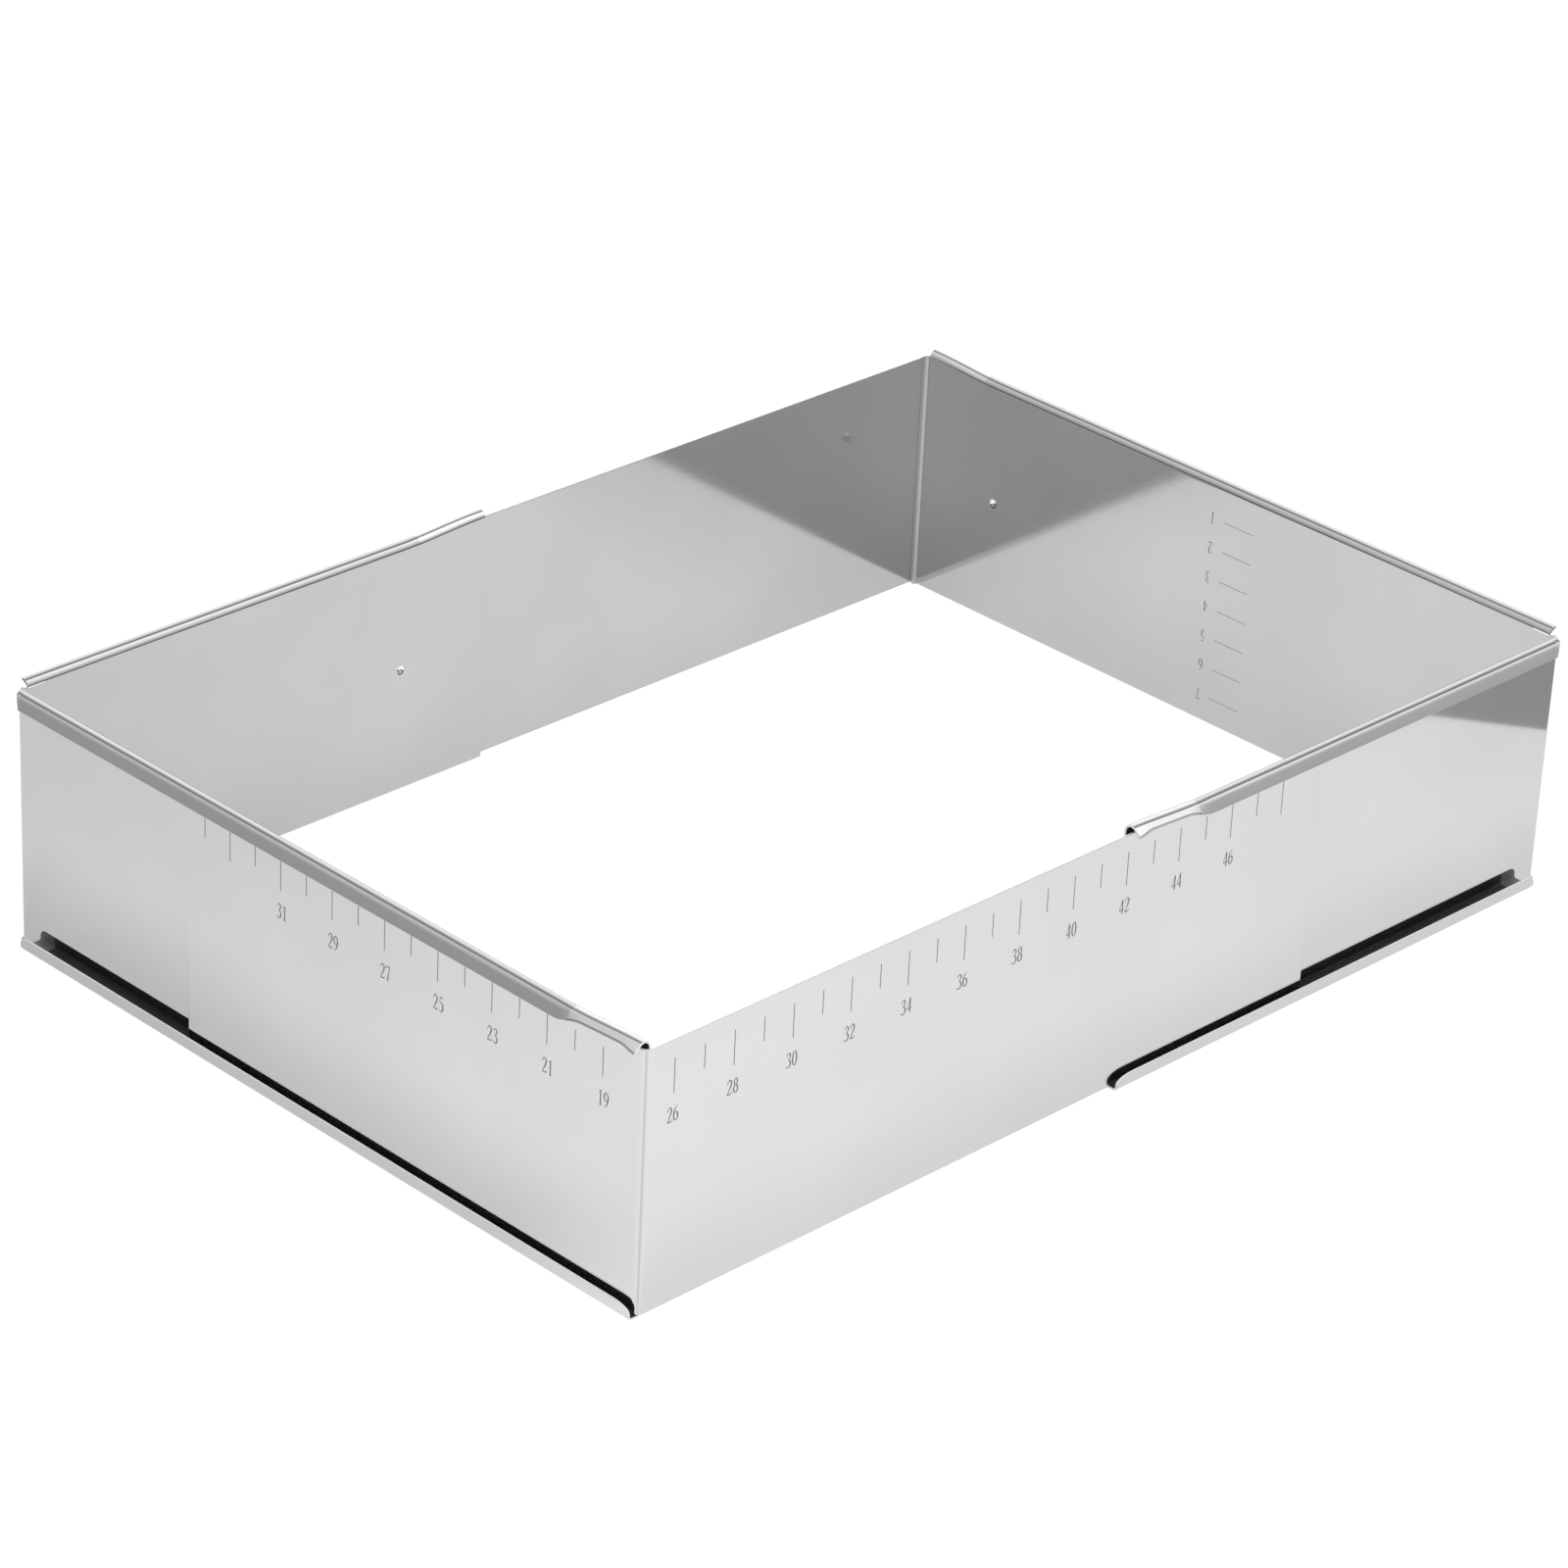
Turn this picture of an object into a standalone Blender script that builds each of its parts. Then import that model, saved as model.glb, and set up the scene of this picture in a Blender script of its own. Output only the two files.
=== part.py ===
"""Adjustable cake frame in folded sheet steel.

Four L-shaped sheets make one rectangular ring. The front and back corners are plain sheets
folded once, and their arms are the tongues. The right and left corners are folded the same
way, and each of their arms also carries a hooked top edge and a turned-up bottom lip on its
outside, which make the channel that a tongue slides in. The two pairs are half a turn apart.

Units are metres. The origin is the middle of the ring at the height of the table, +X runs
along the long side, +Y along the short side and +Z is up.
"""

import math

import bmesh
import bpy
from mathutils import Euler, Vector

# Sheet and its upright corner fold, measured on the outer face
SHEET = 0.0006
BEND_RADIUS = 0.0015

# Scale corners: arm lengths from the outer corner, and the rounded corners of each free end
TONGUE_HEIGHT = 0.075
LONG_TONGUE = 0.2445
SHORT_TONGUE = 0.172
TONGUE_CORNER = 0.003

# Channel corners: arm lengths from the outer faces of the wall
RIGHT_LONG_ARM = 0.176
LEFT_LONG_ARM = 0.165
SHORT_ARM = 0.244

# Clear length between the end walls as the frame is set, with the short side pushed shut
INSIDE_LENGTH = 0.343

# Clearances of a tongue in its channel
TONGUE_GAP = 0.001
LIP_GAP = 0.0015
FLOOR_GAP = 0.0003
HOOK_ROOM = 0.0007
STOP_GAP = 0.0003

# Bottom lip: height of its free edge, fold radius at mid sheet, rounding at the arm's end
LIP_HEIGHT = 0.004
LIP_FOLD_RADIUS = 0.001
LIP_CORNER = 0.006
LIP_ROOT_SHARE = 0.2

# Hook: curl and straight edge, leant out from upright; the mouth is lifted and opened further
HOOK_EDGE = 0.0028
HOOK_ANGLE = math.radians(24)
MOUTH_EDGE = 0.0012
FLARE_EDGE = 0.0028
MOUTH_LENGTH = 0.024
MOUTH_BLEND = 0.014
MOUTH_RISE = 0.0012
FLARE_LENGTH = 0.006
MOUTH_ANGLE = math.radians(38)
FLARE_ANGLE = math.radians(55)

# Corner of a channel sheet: where lip and hook stop, and how far its top lies under the hook's
CORNER_RELIEF = 0.0018
CORNER_TOP_DROP = 0.0013

# Pressed bump near each channel arm's free end, which bears on the tongue
BUMP_RADIUS = 0.0025
BUMP_FROM_END = 0.031
BUMP_GAP = 0.0003
CUT_OVERRUN = 0.0005

# Places along a rounded or flared end, as shares of its length, and along the mouth's blend
END_SHARES = (0.0, 0.05, 0.17, 0.36, 0.65, 1.0)
BLEND_SHARES = (0.0, 0.25, 0.5, 0.75, 1.0)

# Facets
BEND_STEPS = 6
LIP_FOLD_STEPS = 3
HOOK_STEPS = 10
BUMP_RINGS = 4
BUMP_STEPS = 20

# Sizes that follow from the ones above, with offsets counted outwards from the wall's face
WALL_MID = -SHEET / 2
TONGUE_FACE = TONGUE_GAP + SHEET
LIP_MID = TONGUE_FACE + LIP_GAP + SHEET / 2
HOOK_RADIUS = (LIP_MID - WALL_MID) / 2
FLOOR_MID = SHEET / 2
LIP_FOOT = FLOOR_MID + LIP_FOLD_RADIUS
TONGUE_BOTTOM = SHEET + FLOOR_GAP
TONGUE_TOP = TONGUE_BOTTOM + TONGUE_HEIGHT
HOOK_TOP = TONGUE_TOP + HOOK_ROOM + SHEET
HOOK_SPRING = HOOK_TOP - SHEET / 2 - HOOK_RADIUS
CORNER_TOP = HOOK_TOP - CORNER_TOP_DROP
BUMP_LEVEL = (TONGUE_BOTTOM + TONGUE_TOP) / 2

# The short side's stop: a channel arm's end meets the inside of the scale corner's long arm
WALL_HALF_LENGTH = INSIDE_LENGTH / 2 + SHEET
WALL_HALF_WIDTH = (SHORT_ARM - TONGUE_GAP + STOP_GAP) / 2
TONGUE_HALF_LENGTH = WALL_HALF_LENGTH + TONGUE_FACE
TONGUE_HALF_WIDTH = WALL_HALF_WIDTH + TONGUE_FACE


def clear_scene():
    """Remove every object that the file opens with."""
    for obj in list(bpy.data.objects):
        bpy.data.objects.remove(obj, do_unlink=True)


def make_collection(name):
    """Add a collection to the scene."""
    collection = bpy.data.collections.new(name)
    bpy.context.scene.collection.children.link(collection)
    return collection


def make_steel(name, shade, roughness):
    """Polished stainless steel as a Principled material."""
    material = bpy.data.materials.new(name)
    material.use_nodes = True
    surface = material.node_tree.nodes["Principled BSDF"]
    surface.inputs["Base Color"].default_value = (shade, shade, shade, 1)
    surface.inputs["Metallic"].default_value = 1
    surface.inputs["Roughness"].default_value = roughness
    material.diffuse_color = (shade, shade, shade, 1)
    return material


def ease(x):
    """Smooth step from 0 to 1 as x goes from 0 to 1."""
    x = min(max(x, 0), 1)
    return x * x * (3 - 2 * x)


def quarter_round(x):
    """Height of a quarter circle at x, where both run from 0 to 1."""
    return math.sqrt(max(1 - (1 - min(x, 1)) ** 2, 0))


def fold_arc(centre_out, centre_up, radius, start, sweep, steps):
    """Points (out, up) along a fold, with angles from the outward direction."""
    return [(centre_out + radius * math.cos(start + sweep * step / steps),
             centre_up + radius * math.sin(start + sweep * step / steps))
            for step in range(steps + 1)]


def hook_edge(t):
    """Length of the hook's straight edge at t from the arm's free end."""
    mouth = MOUTH_EDGE + (HOOK_EDGE - MOUTH_EDGE) * ease((t - MOUTH_LENGTH) / MOUTH_BLEND)
    return mouth + (FLARE_EDGE - MOUTH_EDGE) * (1 - ease(t / FLARE_LENGTH))


def hook_rise(t):
    """Height by which the mouth lifts the hook at t from the arm's free end."""
    return MOUTH_RISE * (1 - ease(t / (MOUTH_LENGTH + MOUTH_BLEND)))


def hook_opening(t):
    """Angle by which the hook's edge leans out at t from the arm's free end."""
    mouth = MOUTH_ANGLE + (HOOK_ANGLE - MOUTH_ANGLE) * ease((t - MOUTH_LENGTH) / MOUTH_BLEND)
    return mouth + (FLARE_ANGLE - MOUTH_ANGLE) * (1 - ease(t / FLARE_LENGTH))


def channel_section(t):
    """Middle line of a channel arm's section at t from its free end, or of its corner.

    The points run from the lip's free edge through the floor and up the wall to the hook's
    free edge. At the corner, where t is None, only the wall and the foot of its fold are
    there, and the other places hold None.
    """
    foot = fold_arc(LIP_MID - LIP_FOLD_RADIUS, LIP_FOOT, LIP_FOLD_RADIUS,
                    0, -math.pi / 2, LIP_FOLD_STEPS)
    heel = fold_arc(WALL_MID + LIP_FOLD_RADIUS, LIP_FOOT, LIP_FOLD_RADIUS,
                    -math.pi / 2, -math.pi / 2, LIP_FOLD_STEPS)
    if t is None:
        top = [(WALL_MID, CORNER_TOP)]
        return [None] * (1 + len(foot)) + heel + top + [None] * (HOOK_STEPS + 1)
    root = LIP_FOOT + LIP_ROOT_SHARE * (LIP_HEIGHT - LIP_FOOT)
    lip = [(LIP_MID, root + (LIP_HEIGHT - root) * quarter_round(t / LIP_CORNER))]
    curl_end = hook_opening(t)
    curl = fold_arc(WALL_MID + HOOK_RADIUS, HOOK_SPRING + hook_rise(t), HOOK_RADIUS,
                    math.pi, curl_end - math.pi, HOOK_STEPS)
    out, up = curl[-1]
    tip = [(out + hook_edge(t) * math.sin(curl_end), up - hook_edge(t) * math.cos(curl_end))]
    return lip + foot + heel + curl + tip


def tongue_section(t):
    """Bottom and top of a tongue at t from its free end, with that end's corners rounded."""
    inset = 0
    if t is not None:
        inset = TONGUE_CORNER * (1 - quarter_round(t / TONGUE_CORNER))
    return [(WALL_MID, TONGUE_BOTTOM + inset), (WALL_MID, TONGUE_TOP - inset)]


def channel_stations(arm):
    """Distances from a channel arm's free end at which its section is drawn."""
    ends = {LIP_CORNER * share for share in END_SHARES}
    ends |= {FLARE_LENGTH * share for share in END_SHARES}
    ends |= {MOUTH_LENGTH * share for share in BLEND_SHARES}
    ends |= {MOUTH_LENGTH + MOUTH_BLEND * share for share in BLEND_SHARES}
    return sorted(ends) + [arm - CORNER_RELIEF]


def tongue_stations(arm):
    """Distances from a tongue's free end at which its edges are drawn."""
    return [TONGUE_CORNER * share for share in END_SHARES]


def corner_mesh(name, long_arm, short_arm, hand, section, stations):
    """Middle surface of an L-shaped sheet, lofted from one free end round to the other.

    The corner of its outer faces is at the origin. The short arm runs along +Y. The long
    arm runs along +X for hand 1 and along -X for hand -1.
    """
    columns = []
    for t in stations(long_arm):
        columns.append([point and (long_arm - t, -point[0], point[1]) for point in section(t)])
    for step in range(BEND_STEPS + 1):
        angle = math.pi / 2 * step / BEND_STEPS
        column = []
        for point in section(None):
            reach = point and BEND_RADIUS + point[0]
            column.append(point and (BEND_RADIUS - reach * math.sin(angle),
                                     BEND_RADIUS - reach * math.cos(angle), point[1]))
        columns.append(column)
    for t in reversed(stations(short_arm)):
        columns.append([point and (-point[0], short_arm - t, point[1]) for point in section(t)])

    sheet = bmesh.new()
    grid = [[point and sheet.verts.new((hand * point[0], point[1], point[2])) for point in column]
            for column in columns]
    for near, far in zip(grid, grid[1:]):
        for row in range(len(near) - 1):
            ring = (near[row], far[row], far[row + 1], near[row + 1])
            if all(ring):
                sheet.faces.new(ring[::hand])
    mesh = bpy.data.meshes.new(name)
    sheet.to_mesh(mesh)
    sheet.free()
    mesh.shade_smooth()
    return mesh


def add_sheet(name, mesh, collection, material, root, place, turn):
    """Place a middle surface and give it the sheet's thickness."""
    mesh.materials.append(material)
    obj = bpy.data.objects.new(name, mesh)
    collection.objects.link(obj)
    obj.parent = root
    obj.location = place
    obj.rotation_euler = Euler((0, 0, turn))
    solidify = obj.modifiers.new("sheet_thickness", "SOLIDIFY")
    solidify.thickness = SHEET
    solidify.offset = 0
    solidify.use_even_offset = True
    solidify.use_quality_normals = True
    return obj


def turned_cap(name, collection, parent, radius, top, base, place, outward):
    """Cap of a ball, turned about its own axis: top and base are heights on that axis."""
    centre = top - radius
    last = math.acos((base - centre) / radius)
    rim = [(radius * math.sin(last * step / BUMP_RINGS),
            centre + radius * math.cos(last * step / BUMP_RINGS))
           for step in range(BUMP_RINGS + 1)]
    profile = [Vector((out, 0, up)) for out, up in rim] + [Vector((0, 0, base))]
    outline = bmesh.new()
    points = [outline.verts.new(point) for point in profile]
    for first, second in zip(points, points[1:]):
        outline.edges.new((first, second))
    mesh = bpy.data.meshes.new(name)
    outline.to_mesh(mesh)
    outline.free()
    obj = bpy.data.objects.new(name, mesh)
    collection.objects.link(obj)
    screw = obj.modifiers.new("turn", "SCREW")
    screw.axis = "Z"
    screw.angle = math.tau
    screw.steps = BUMP_STEPS
    screw.render_steps = BUMP_STEPS
    screw.use_merge_vertices = True
    screw.merge_threshold = SHEET / BUMP_STEPS
    obj.parent = parent
    obj.location = place
    obj.rotation_euler = outward.to_track_quat("Z", "Y").to_euler()
    obj.hide_render = True
    obj.display_type = "WIRE"
    return obj


def press_bump(sheet, forms, label, place, outward):
    """Press a shallow bump outwards through the wall at a place on its outer face."""
    rise = TONGUE_GAP - BUMP_GAP
    ball = (BUMP_RADIUS ** 2 + rise ** 2) / (2 * rise)
    shapes = (("UNION", "raised", ball, rise, WALL_MID),
              ("DIFFERENCE", "hollow", ball - SHEET, rise - SHEET, -SHEET - CUT_OVERRUN))
    for operation, kind, radius, top, base in shapes:
        form = turned_cap(f"{sheet.name}_{label}_{kind}", forms, sheet, radius, top, base,
                          place, outward)
        boolean = sheet.modifiers.new(f"{label}_{kind}", "BOOLEAN")
        boolean.operation = operation
        boolean.solver = "EXACT"
        boolean.object = form


def add_scale_corner(name, collection, material, root, side):
    """Front (side -1) or back (side 1) corner: a plain sheet whose arms are the tongues."""
    mesh = corner_mesh(name, LONG_TONGUE, SHORT_TONGUE, 1, tongue_section, tongue_stations)
    place = (side * TONGUE_HALF_LENGTH, side * TONGUE_HALF_WIDTH, 0)
    turn = math.pi if side > 0 else 0
    return add_sheet(name, mesh, collection, material, root, place, turn)


def add_channel_corner(name, collection, forms, material, root, side, long_arm):
    """Right (side 1) or left (side -1) corner: a sheet whose arms hold the tongues."""
    mesh = corner_mesh(name, long_arm, SHORT_ARM, -1, channel_section, channel_stations)
    place = (side * WALL_HALF_LENGTH, -side * WALL_HALF_WIDTH, 0)
    turn = 0 if side > 0 else math.pi
    sheet = add_sheet(name, mesh, collection, material, root, place, turn)
    press_bump(sheet, forms, "long_bump",
               (BUMP_FROM_END - long_arm, 0, BUMP_LEVEL), Vector((0, -1, 0)))
    press_bump(sheet, forms, "short_bump",
               (0, SHORT_ARM - BUMP_FROM_END, BUMP_LEVEL), Vector((1, 0, 0)))
    return sheet


def main():
    """Build the four sheets under one empty."""
    clear_scene()
    frame = make_collection("adjustable_cake_frame")
    forms = make_collection("press_forms")
    root = bpy.data.objects.new("cake_frame", None)
    frame.objects.link(root)

    add_scale_corner("front_scale_corner", frame, make_steel("scale_steel_front", 0.62, 0.12),
                     root, -1)
    add_scale_corner("back_scale_corner", frame, make_steel("scale_steel_back", 0.62, 0.12),
                     root, 1)
    add_channel_corner("right_channel_corner", frame, forms,
                       make_steel("channel_steel_right", 0.6, 0.1), root, 1, RIGHT_LONG_ARM)
    add_channel_corner("left_channel_corner", frame, forms,
                       make_steel("channel_steel_left", 0.6, 0.1), root, -1, LEFT_LONG_ARM)
    bpy.context.view_layer.update()


main()
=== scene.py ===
"""Looks of an adjustable cake frame in polished sheet steel.

Two scale corners carry engraved rules on their arms. Two channel corners hold those arms
between a hooked top edge and a turned-up bottom lip. Each corner is one folded sheet, lofted
along one arm, round the upright bend and along the other arm. Units are metres, in the frame
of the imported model.
"""

from __future__ import annotations

import logging
import math
from abc import ABC, abstractmethod
from collections.abc import Iterable, Sequence
from dataclasses import dataclass, field
from enum import Enum
from functools import reduce

import bmesh
import bpy
from mathutils import Matrix, Vector


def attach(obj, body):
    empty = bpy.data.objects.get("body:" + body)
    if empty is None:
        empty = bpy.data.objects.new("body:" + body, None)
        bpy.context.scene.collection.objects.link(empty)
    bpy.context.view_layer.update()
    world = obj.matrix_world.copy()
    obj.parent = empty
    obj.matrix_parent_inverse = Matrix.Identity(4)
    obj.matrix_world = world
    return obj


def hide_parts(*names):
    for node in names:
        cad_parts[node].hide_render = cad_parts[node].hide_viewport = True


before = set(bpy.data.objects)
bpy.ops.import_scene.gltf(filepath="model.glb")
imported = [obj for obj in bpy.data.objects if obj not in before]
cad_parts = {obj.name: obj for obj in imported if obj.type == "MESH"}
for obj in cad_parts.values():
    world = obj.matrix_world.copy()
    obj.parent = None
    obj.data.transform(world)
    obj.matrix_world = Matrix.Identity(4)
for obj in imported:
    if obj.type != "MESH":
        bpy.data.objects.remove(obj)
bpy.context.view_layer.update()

LOG = logging.getLogger("cake_frame")

Point = tuple[float, float]
Place = tuple[float, float, float]
Run = tuple[float, float, float, float]
Section = list["Point | None"]

# Facets of a lip's fold, of the hook's curl, and of a bump's radius with its guard rows
FOLD_STEPS = 6
CURL_STEPS = 20
BUMP_STEPS = 8
BUMP_ROWS = range(-BUMP_STEPS - 1, BUMP_STEPS + 2)


class Corner(Enum):
    """Corners of the ring, named as the bodies that carry them."""

    FRONT = "front"
    BACK = "back"
    RIGHT = "right"
    LEFT = "left"

    @property
    def turn(self) -> float:
        """Turn about the upright axis from the near corner of the same kind."""
        return math.pi if self in (Corner.BACK, Corner.LEFT) else 0.0


class Skin(Enum):
    """Parts of a sheet, each with its first material slot of three."""

    WALL = 0
    FLANGE = 3
    HEEL = 6
    DENT = 9
    END = 12
    SHADE = 15
    TURN = 18
    MOUTH = 21
    WALL_END = 24
    TONGUE_END = 27


def ease(x: float) -> float:
    """Smooth step from 0 to 1, for a position that is held between 0 and 1."""
    x = min(max(x, 0.0), 1.0)
    return x * x * (3 - 2 * x)


def quarter_round(x: float) -> float:
    """Height of a quarter circle, from 0, where it is steep, to 1, where it is level."""
    return math.sqrt(max(1 - (1 - min(x, 1.0)) ** 2, 0.0))


def spaced(stations: Iterable[float], least: float) -> list[float]:
    """Sorted stations with near doubles left out.

    Args:
        stations: Distances in any order.
        least: Smallest step that is kept.

    Returns:
        The stations that are at least that far apart.
    """
    kept: list[float] = []
    for station in sorted(stations):
        if not kept or station - kept[-1] >= least:
            kept.append(station)
    return kept


def grey(level: float) -> tuple[float, float, float, float]:
    """Opaque grey of a level in linear light."""
    return (level, level, level, 1.0)


def set_up(target: object, **settings: object) -> None:
    """Give a modifier, lamp, camera or node several settings."""
    for name, setting in settings.items():
        setattr(target, name, setting)


def link(obj: bpy.types.Object) -> bpy.types.Object:
    """Put an object in the scene and return it."""
    bpy.context.scene.collection.objects.link(obj)
    return obj


def piece_from(name: str, shape: bmesh.types.BMesh,
               materials: Iterable[bpy.types.Material] = ()) -> bpy.types.Object:
    """Turn a shape into an object in the scene.

    Args:
        name: Name of the object.
        shape: Its shape, which is freed.
        materials: Its material slots.

    Returns:
        The object.
    """
    mesh = bpy.data.meshes.new(name)
    shape.to_mesh(mesh)
    shape.free()
    for material in materials:
        mesh.materials.append(material)
    return link(bpy.data.objects.new(name, mesh))


def baked(obj: bpy.types.Object, place: Matrix) -> bpy.types.Object:
    """Turn an object with modifiers into a plain mesh in its place.

    Args:
        obj: Object whose modifiers are to be applied.
        place: From the object's own axes to the world.

    Returns:
        The same object, unturned at the origin, with no modifiers.
    """
    bpy.context.view_layer.update()
    graph = bpy.context.evaluated_depsgraph_get()
    mesh = bpy.data.meshes.new_from_object(obj.evaluated_get(graph), depsgraph=graph)
    old = obj.data
    obj.modifiers.clear()
    obj.data = mesh
    bpy.data.meshes.remove(old)
    mesh.name = obj.name
    mesh.transform(place)
    return obj


class Graph:
    """Short ways to write a node tree, whose values are output sockets or plain values."""

    def __init__(self, tree: bpy.types.NodeTree) -> None:
        """Keep the tree that the nodes are added to."""
        self.nodes, self.links = tree.nodes, tree.links

    def feed(self, socket: bpy.types.NodeSocket, value: object) -> None:
        """Feed an input.

        Args:
            socket: The input.
            value: Output socket to link to it, or the plain value to set.
        """
        if isinstance(value, bpy.types.NodeSocket):
            self.links.new(value, socket)
        else:
            socket.default_value = value

    def add(self, kind: str, inputs: dict[str | int, object] | None = None,
            output: str | int = 0, **settings: object) -> bpy.types.NodeSocket:
        """Add a node.

        Args:
            kind: Type of the node.
            inputs: Value of each input that doesn't keep its default.
            output: Output that is wanted.
            settings: Settings of the node.

        Returns:
            The output's socket.
        """
        node = self.nodes.new(kind)
        set_up(node, **settings)
        for key, value in (inputs or {}).items():
            self.feed(node.inputs[key], value)
        return node.outputs[output]

    def calc(self, operation: str, first: object, second: object = 0.0) -> bpy.types.NodeSocket:
        """Combine two values by an operation of the Math node."""
        return self.add("ShaderNodeMath", {0: first, 1: second}, operation=operation)

    def product(self, *values: object) -> bpy.types.NodeSocket:
        """Multiply values."""
        return reduce(lambda first, second: self.calc("MULTIPLY", first, second), values)

    def vector(self, x: object = 0.0, y: object = 0.0, z: object = 0.0) -> bpy.types.NodeSocket:
        """Join three values to a vector."""
        return self.add("ShaderNodeCombineXYZ", {"X": x, "Y": y, "Z": z})

    def along(self, vector: object, way: Sequence[float]) -> bpy.types.NodeSocket:
        """Length of a vector along a direction."""
        return self.add("ShaderNodeVectorMath", {0: vector, 1: way}, "Value",
                        operation="DOT_PRODUCT")

    def mix(self, share: object, first: object, second: object) -> bpy.types.NodeSocket:
        """Blend two values, with a share of the second."""
        return self.add("ShaderNodeMix", {"Factor": share, "A": first, "B": second})

    def span(self, value: object, low: float, high: float, start: float = 0.0,
             end: float = 1.0, interpolation: str = "LINEAR") -> bpy.types.NodeSocket:
        """Carry a value that runs from start to end over to a run from low to high."""
        return self.add("ShaderNodeMapRange", {"Value": value, "From Min": start, "From Max": end,
                                               "To Min": low, "To Max": high},
                        interpolation_type=interpolation)

    def ramp(self, value: object, start: float, end: float, low: object,
             high: object) -> bpy.types.NodeSocket:
        """Run smoothly from low, before the value reaches start, to high, past its end."""
        return self.mix(self.span(value, 0.0, 1.0, start, end, "SMOOTHSTEP"), low, high)

    def noise(self, place: object, scale: float, detail: float) -> bpy.types.NodeSocket:
        """Level of a noise texture."""
        return self.add("ShaderNodeTexNoise", {"Vector": place, "Scale": scale, "Detail": detail})


@dataclass(frozen=True)
class Finish(ABC):
    """Finish of a steel surface: its name, its grey in linear light and its roughness."""

    name: str
    shade: float
    roughness: float

    @abstractmethod
    def dress(self, graph: Graph, surface: bpy.types.NodeInputs, place: object) -> None:
        """Feed the shader of the finish's material."""

    def material(self) -> bpy.types.Material:
        """Build the material.

        Returns:
            The new material.
        """
        material = bpy.data.materials.new(self.name)
        material.use_nodes = True
        material.diffuse_color = grey(self.shade)
        graph = Graph(material.node_tree)
        self.dress(graph, graph.nodes["Principled BSDF"].inputs,
                   graph.add("ShaderNodeTexCoord", output="Object"))
        return material


@dataclass(frozen=True)
class SteelFinish(Finish):
    """Polished sheet steel, with faint clouds, a fine rolling grain and slow waves."""

    # Share by which clouds change the grey, with the levels of noise that they run between
    cloud: float = 0.02
    cloud_scale: float = 22.0
    cloud_levels: Point = (0.3, 0.7)
    # Amount by which the grain changes the roughness, and how it is stretched along the sheet
    grain: float = 0.03
    grain_scale: Place = (14.0, 14.0, 1600.0)
    least_roughness: float = 0.02
    # Height of the waves
    ripple: float = 0.00006
    ripple_scale: float = 16.0

    def dress(self, graph: Graph, surface: bpy.types.NodeInputs, place: object) -> None:
        """Feed the shader.

        Args:
            graph: Node tree of the material.
            surface: Inputs of its shader.
            place: Socket of the place on the piece.
        """
        surface["Metallic"].default_value = 1.0
        clouds = graph.noise(place, self.cloud_scale, 3.0)
        graph.feed(surface["Base Color"], graph.span(
            clouds, self.shade * (1 - self.cloud), self.shade * (1 + self.cloud),
            *self.cloud_levels))
        stretched = graph.add("ShaderNodeMapping", {"Vector": place, "Scale": self.grain_scale})
        smoothest = max(self.roughness - self.grain, self.least_roughness)
        graph.feed(surface["Roughness"], graph.span(
            graph.noise(stretched, 1.0, 2.0), smoothest, self.roughness + self.grain))
        waves = graph.noise(place, self.ripple_scale, 1.0)
        graph.feed(surface["Normal"], graph.add(
            "ShaderNodeBump", {"Height": waves, "Strength": 1.0, "Distance": self.ripple},
            "Normal"))


@dataclass(frozen=True)
class MatteFinish(Finish):
    """Duller surface with a fine mottle: engraving, or painted highlight, shade and light on rims,
    channels and slots.
    """

    # Share of bare metal, and share by which the mottle changes the grey
    metallic: float
    mottle: float
    mottle_scale: float = 2500.0

    def dress(self, graph: Graph, surface: bpy.types.NodeInputs, place: object) -> None:
        """Feed the shader.

        Args:
            graph: Node tree of the material.
            surface: Inputs of its shader.
            place: Socket of the place on the piece.
        """
        surface["Metallic"].default_value = self.metallic
        surface["Roughness"].default_value = self.roughness
        graph.feed(surface["Base Color"], graph.span(
            graph.noise(place, self.mottle_scale, 2.0), self.shade * (1 - self.mottle),
            min(self.shade * (1 + self.mottle), 1.0)))


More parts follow.
